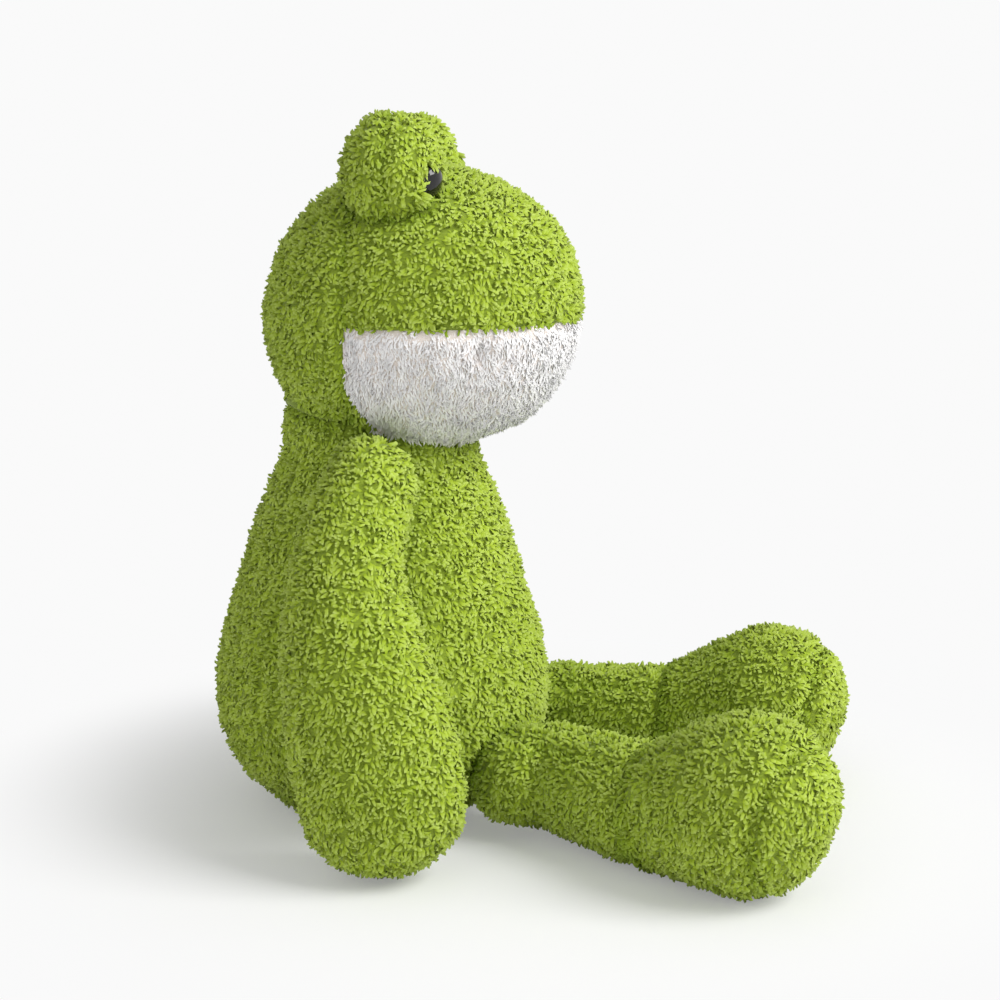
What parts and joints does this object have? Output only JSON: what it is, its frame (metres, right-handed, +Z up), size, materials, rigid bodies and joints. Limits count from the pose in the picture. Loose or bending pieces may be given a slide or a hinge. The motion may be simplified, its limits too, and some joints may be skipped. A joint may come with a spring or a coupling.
{
  "type": "plush frog",
  "caption": "Seated plush frog with a round head, domed eyes on top, pale chin, teardrop body, soft arms and legs with bulb feet.",
  "frame": {"origin": "centre of the flat seat under the torso, on the surface that the frog sits on", "axes": "+Z up, -Y is the way the frog faces, +X is the frog's left"},
  "size_m": [0.2292, 0.2431, 0.259],
  "materials": {
    "green_pile": "matte",
    "cream_pile": "matte",
    "stuffing": "matte",
    "bean_bag_cloth": "matte",
    "thread": "matte",
    "eye_bead": "gloss",
    "washer": "satin"
  },
  "bodies": {
    "torso": {"torso_front": "green_pile", "torso_back_right": "green_pile", "torso_back_left": "green_pile", "seat_panel": "green_pile", "torso_filling": "stuffing", "bean_bag": "bean_bag_cloth"},
    "neck_stitch": {"neck_knot": "thread"},
    "head": {"head_back_right": "green_pile", "head_back_left": "green_pile", "muzzle_top": "green_pile", "chin": "cream_pile", "eye_bump_right_front": "green_pile", "eye_bump_right_back": "green_pile", "eye_bump_left_front": "green_pile", "eye_bump_left_back": "green_pile", "eye_right": "eye_bead", "eye_left": "eye_bead", "head_filling": "stuffing", "eye_bump_right_filling": "stuffing", "eye_bump_left_filling": "stuffing", "eye_washer_right": "washer", "eye_washer_left": "washer"},
    "shoulder_stitch_right": {"shoulder_knot_right": "thread"},
    "arm_right": {"arm_right_outer": "green_pile", "arm_right_inner": "green_pile", "arm_right_filling": "stuffing"},
    "hip_stitch_right": {"hip_knot_right": "thread"},
    "leg_right": {"leg_right_outer": "green_pile", "leg_right_inner": "green_pile", "leg_right_filling": "stuffing"},
    "foot_right": {"foot_right_upper": "green_pile", "foot_right_sole": "green_pile", "foot_right_filling": "stuffing"},
    "shoulder_stitch_left": {"shoulder_knot_left": "thread"},
    "arm_left": {"arm_left_outer": "green_pile", "arm_left_inner": "green_pile", "arm_left_filling": "stuffing"},
    "hip_stitch_left": {"hip_knot_left": "thread"},
    "leg_left": {"leg_left_outer": "green_pile", "leg_left_inner": "green_pile", "leg_left_filling": "stuffing"},
    "foot_left": {"foot_left_upper": "green_pile", "foot_left_sole": "green_pile", "foot_left_filling": "stuffing"}
  },
  "joints": [
    {"name": "neck_turn", "type": "hinge", "parent": "torso", "child": "neck_stitch", "pos_m": [0, 0, 0.138], "axis": [0, 0, 1], "range_deg": [-18, 18], "stiffness_Nm_per_rad": 0.3},
    {"name": "neck_nod", "type": "hinge", "parent": "neck_stitch", "child": "head", "pos_m": [0, 0, 0.138], "axis": [1, 0, 0], "range_deg": [-12, 8], "stiffness_Nm_per_rad": 0.5, "springref_deg": -1.43},
    {"name": "shoulder_swing_right", "type": "hinge", "parent": "torso", "child": "shoulder_stitch_right", "pos_m": [-0.05541, -0.0035, 0.131], "axis": [0.9877, -0.1564, 0], "range_deg": [-80, 30]},
    {"name": "shoulder_raise_right", "type": "hinge", "parent": "shoulder_stitch_right", "child": "arm_right", "pos_m": [-0.05541, -0.0035, 0.131], "axis": [0, 1, 0], "range_deg": [0, 80]},
    {"name": "shoulder_swing_left", "type": "hinge", "parent": "torso", "child": "shoulder_stitch_left", "pos_m": [0.05541, -0.0035, 0.131], "axis": [0.9877, 0.1564, 0], "range_deg": [-80, 30]},
    {"name": "shoulder_raise_left", "type": "hinge", "parent": "shoulder_stitch_left", "child": "arm_left", "pos_m": [0.05541, -0.0035, 0.131], "axis": [0, -1, 0], "range_deg": [0, 80]},
    {"name": "hip_spread_right", "type": "hinge", "parent": "torso", "child": "hip_stitch_right", "pos_m": [-0.04, -0.06563, 0.027], "axis": [0, 0, -1], "range_deg": [-12, 25]},
    {"name": "hip_lift_right", "type": "hinge", "parent": "hip_stitch_right", "child": "leg_right", "pos_m": [-0.04, -0.06563, 0.027], "axis": [-0.809, 0.5878, 0], "range_deg": [-30, 60]},
    {"name": "ankle_flex_right", "type": "hinge", "parent": "leg_right", "child": "foot_right", "pos_m": [-0.0641, -0.0988, 0.022], "axis": [-0.809, 0.5878, 0], "range_deg": [-20, 20]},
    {"name": "hip_spread_left", "type": "hinge", "parent": "torso", "child": "hip_stitch_left", "pos_m": [0.04, -0.06563, 0.027], "axis": [0, 0, 1], "range_deg": [-4, 45]},
    {"name": "hip_lift_left", "type": "hinge", "parent": "hip_stitch_left", "child": "leg_left", "pos_m": [0.04, -0.06563, 0.027], "axis": [-0.9781, 0.2079, 0], "range_deg": [-30, 60]},
    {"name": "ankle_flex_left", "type": "hinge", "parent": "leg_left", "child": "foot_left", "pos_m": [0.03148, -0.10573, 0.022], "axis": [-0.9781, 0.2079, 0], "range_deg": [-20, 20]}
  ]
}
